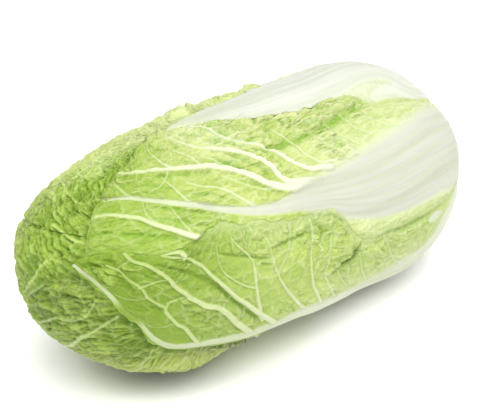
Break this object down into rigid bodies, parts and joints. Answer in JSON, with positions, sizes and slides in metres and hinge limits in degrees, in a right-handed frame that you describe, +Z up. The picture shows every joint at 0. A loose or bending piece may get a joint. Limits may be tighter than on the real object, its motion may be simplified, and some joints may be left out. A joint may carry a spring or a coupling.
{
  "type": "napa cabbage",
  "caption": "Whole napa cabbage head lying on its side: separate wrapped leaves with broad white petioles and crinkled green blades round a cut stem.",
  "frame": {"origin": "on the surface that the head lies on, under the middle of its box", "axes": "+X along the head from the leaf tips to the cut stem, +Z up"},
  "size_m": [0.3088, 0.153, 0.1451],
  "materials": {
    "outer_leaf": "semi-matt crinkled leaf, fresh green blade with white veins and a smooth white petiole",
    "wrapper_leaf": "semi-matt crinkled leaf, light green blade with white veins",
    "inner_leaf": "semi-matt leaf, pale yellow-green",
    "heart": "semi-matt leaf, pale cream-yellow",
    "stem": "moist cut stem, cream-white with fine fibres"
  },
  "bodies": {
    "root": {"outer_leaf_1": "outer_leaf", "outer_leaf_2": "outer_leaf", "outer_leaf_3": "outer_leaf", "outer_leaf_4": "outer_leaf", "outer_leaf_5": "outer_leaf", "wrapper_leaf_6": "wrapper_leaf", "wrapper_leaf_7": "wrapper_leaf", "wrapper_leaf_8": "wrapper_leaf", "wrapper_leaf_9": "wrapper_leaf", "wrapper_leaf_10": "wrapper_leaf", "inner_leaf_11": "inner_leaf", "inner_leaf_12": "inner_leaf", "inner_leaf_13": "inner_leaf", "inner_leaf_14": "inner_leaf", "inner_leaf_15": "inner_leaf", "heart_leaf_16": "heart", "heart_leaf_17": "heart", "heart_leaf_18": "heart", "heart_leaf_19": "heart", "heart_bud": "heart", "stem": "stem"}
  },
  "joints": []
}
